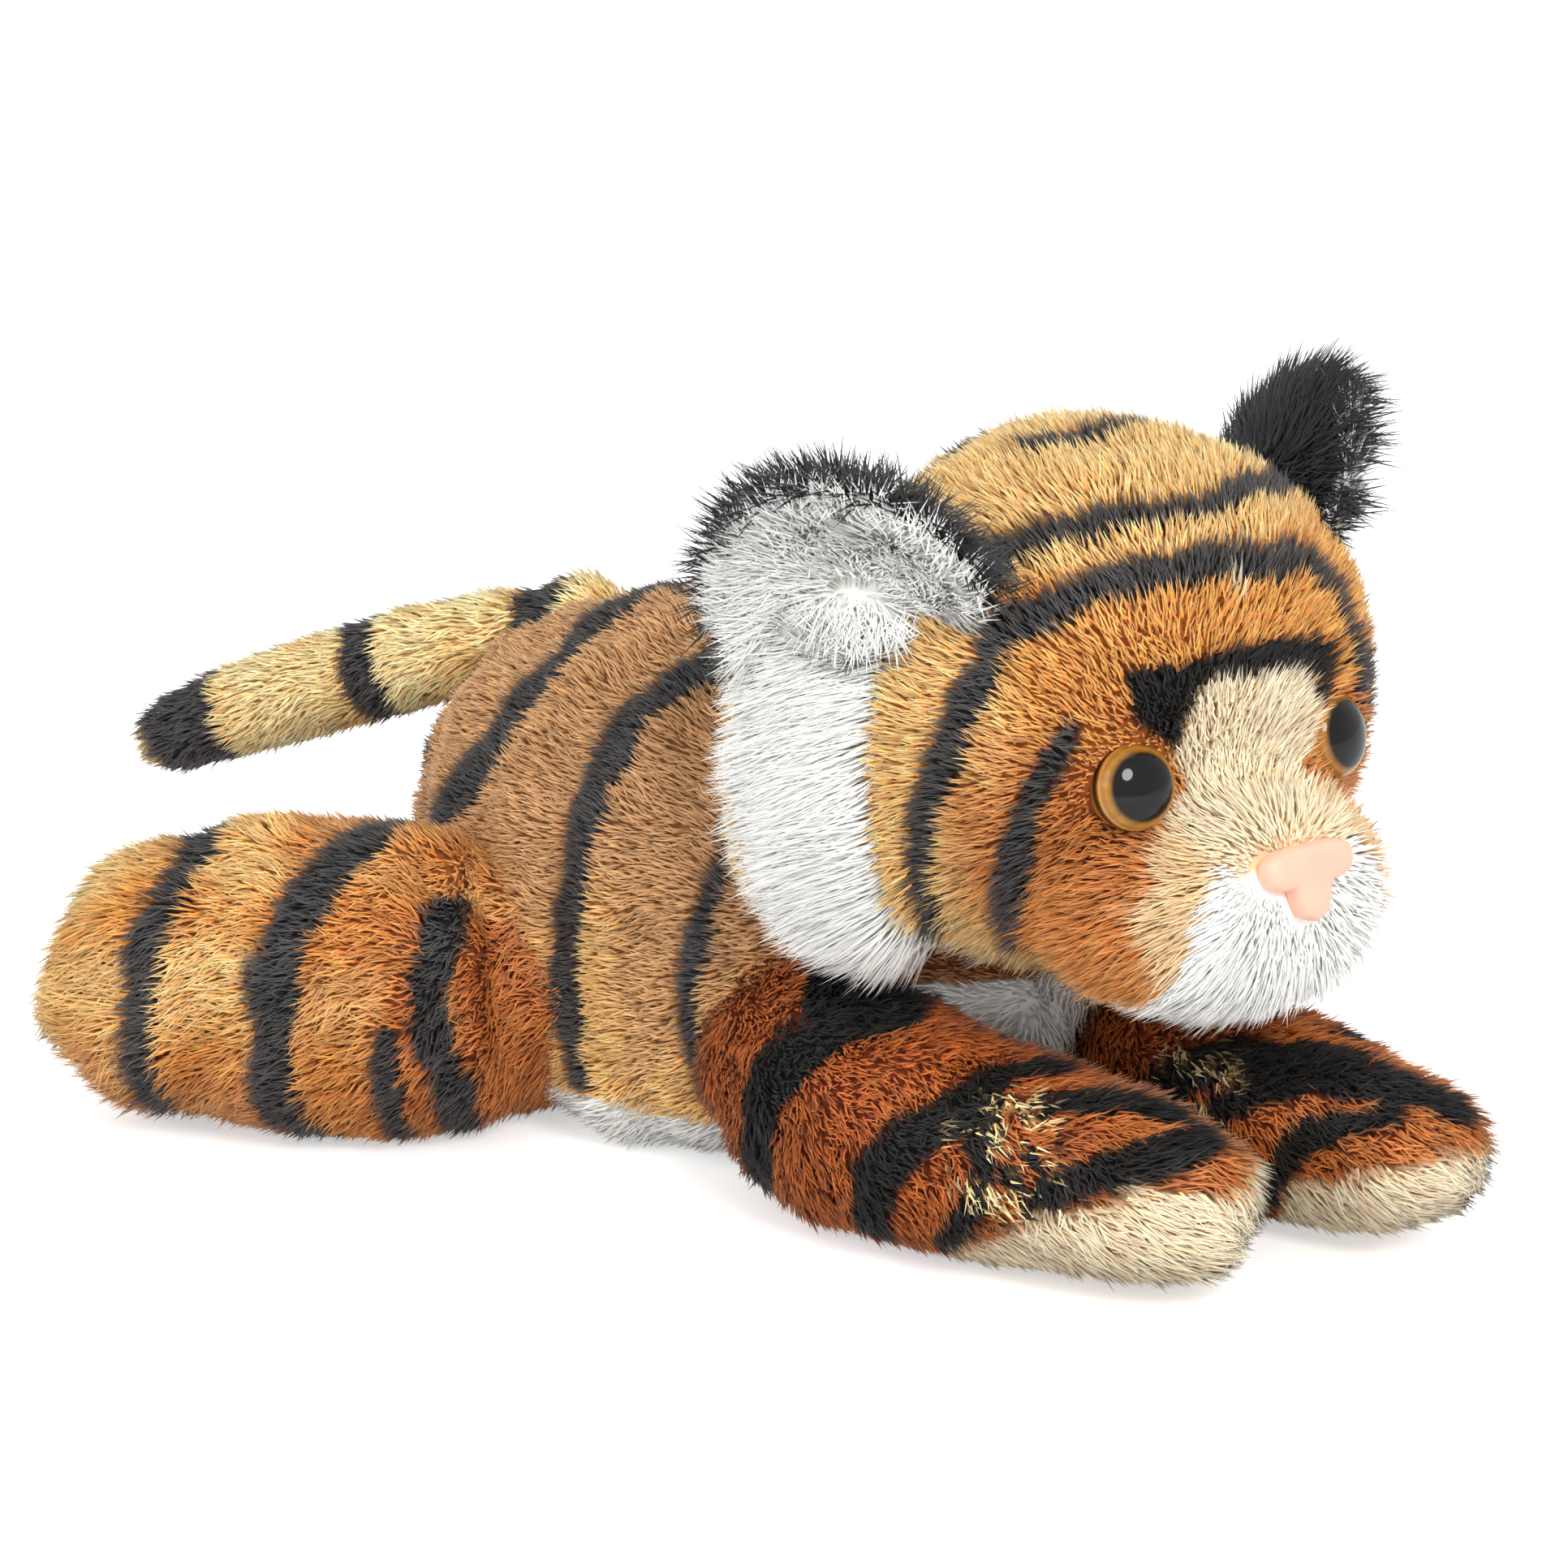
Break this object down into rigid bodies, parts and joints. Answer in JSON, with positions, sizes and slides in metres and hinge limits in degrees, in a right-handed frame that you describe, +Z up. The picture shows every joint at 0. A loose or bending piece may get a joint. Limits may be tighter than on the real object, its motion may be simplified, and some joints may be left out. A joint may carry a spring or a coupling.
{
  "type": "stuffed toy tiger",
  "caption": "Small plush tiger lying on its belly, striped orange pile with white muzzle, ruff and belly, domed eyes and a moulded nose; head, ears, legs and tail flex.",
  "frame": {"origin": "on the flat of the belly, where the toy rests on the floor, below the middle of the torso", "axes": "-Y towards the nose and front paws, +X to the tiger's left, +Z up"},
  "size_m": [0.156, 0.2266, 0.113],
  "materials": {
    "striped_plush": "long pile plush, golden tips over brown roots, printed with charcoal stripes",
    "white_plush": "long pile plush, white",
    "tan_plush": "long pile plush, cream to tan",
    "black_plush": "long pile plush, black",
    "fibrefill": "loose polyester fibre",
    "pellets": "woven bag filled with plastic pellets",
    "eye_clear": "clear polished dome",
    "eye_black": "black, polished",
    "eye_gold": "gold-brown, metallic under the dome",
    "washer_nylon": "moulded nylon",
    "nose_plastic": "soft satin moulding, peach pink"
  },
  "bodies": {
    "torso": {"torso_back_cover": "striped_plush", "belly_panel": "white_plush", "belly_pellet_bag": "pellets", "torso_fibrefill": "fibrefill"},
    "neck": {"neck_fibrefill": "fibrefill"},
    "head": {"head_cover": "striped_plush", "muzzle_bridge_panel": "tan_plush", "muzzle_chin_panel": "white_plush", "cheek_ruff_right": "white_plush", "cheek_ruff_left": "white_plush", "head_fibrefill": "fibrefill", "eye_lens_right": "eye_clear", "eye_pupil_right": "eye_black", "eye_plate_right": "eye_gold", "eye_washer_right": "washer_nylon", "eye_lens_left": "eye_clear", "eye_pupil_left": "eye_black", "eye_plate_left": "eye_gold", "eye_washer_left": "washer_nylon", "nose": "nose_plastic", "nose_washer": "washer_nylon"},
    "ear_right": {"ear_back_right": "black_plush", "ear_front_right": "white_plush"},
    "ear_left": {"ear_back_left": "black_plush", "ear_front_left": "white_plush"},
    "front_leg_right": {"front_leg_right_cover": "striped_plush", "front_paw_sole_right": "tan_plush", "front_leg_right_fibrefill": "fibrefill"},
    "hind_leg_right": {"hind_leg_right_cover": "striped_plush", "hind_paw_sole_right": "tan_plush", "hind_leg_right_fibrefill": "fibrefill"},
    "front_leg_left": {"front_leg_left_cover": "striped_plush", "front_paw_sole_left": "tan_plush", "front_leg_left_fibrefill": "fibrefill"},
    "hind_leg_left": {"hind_leg_left_cover": "striped_plush", "hind_paw_sole_left": "tan_plush", "hind_leg_left_fibrefill": "fibrefill"},
    "tail": {"tail_cover": "striped_plush", "tail_fibrefill": "fibrefill"}
  },
  "joints": [
    {"name": "neck_turn", "type": "hinge", "parent": "torso", "child": "neck", "pos_m": [0, -0.045, 0.055], "axis": [0, 0, 1], "range_deg": [-18, 18], "stiffness_Nm_per_rad": 0.15},
    {"name": "head_nod", "type": "hinge", "parent": "neck", "child": "head", "pos_m": [0, -0.045, 0.055], "axis": [-0.9848, 0.1736, 0], "range_deg": [-3, 15], "stiffness_Nm_per_rad": 0.25},
    {"name": "ear_right_fold", "type": "hinge", "parent": "head", "child": "ear_right", "pos_m": [-0.03757, -0.05361, 0.094], "axis": [0.309, -0.9511, 0], "range_deg": [-15, 15], "stiffness_Nm_per_rad": 0.005},
    {"name": "ear_left_fold", "type": "hinge", "parent": "head", "child": "ear_left", "pos_m": [0.03236, -0.06594, 0.094], "axis": [0.6157, 0.788, 0], "range_deg": [-15, 15], "stiffness_Nm_per_rad": 0.005},
    {"name": "front_leg_right_swing", "type": "hinge", "parent": "torso", "child": "front_leg_right", "pos_m": [-0.024, -0.032, 0.02], "axis": [0, 0, -1], "range_deg": [0, 35], "stiffness_Nm_per_rad": 0.08},
    {"name": "front_leg_left_swing", "type": "hinge", "parent": "torso", "child": "front_leg_left", "pos_m": [0.024, -0.032, 0.02], "axis": [0, 0, 1], "range_deg": [0, 35], "stiffness_Nm_per_rad": 0.08},
    {"name": "hind_leg_right_swing", "type": "hinge", "parent": "torso", "child": "hind_leg_right", "pos_m": [-0.024, 0.024, 0.022], "axis": [0, 0, 1], "range_deg": [-10, 30], "stiffness_Nm_per_rad": 0.1},
    {"name": "hind_leg_left_swing", "type": "hinge", "parent": "torso", "child": "hind_leg_left", "pos_m": [0.024, 0.024, 0.022], "axis": [0, 0, -1], "range_deg": [-10, 30], "stiffness_Nm_per_rad": 0.1},
    {"name": "tail_swing", "type": "hinge", "parent": "torso", "child": "tail", "pos_m": [0, 0.034, 0.069], "axis": [0, 0, -1], "range_deg": [-12, 40], "stiffness_Nm_per_rad": 0.02}
  ]
}
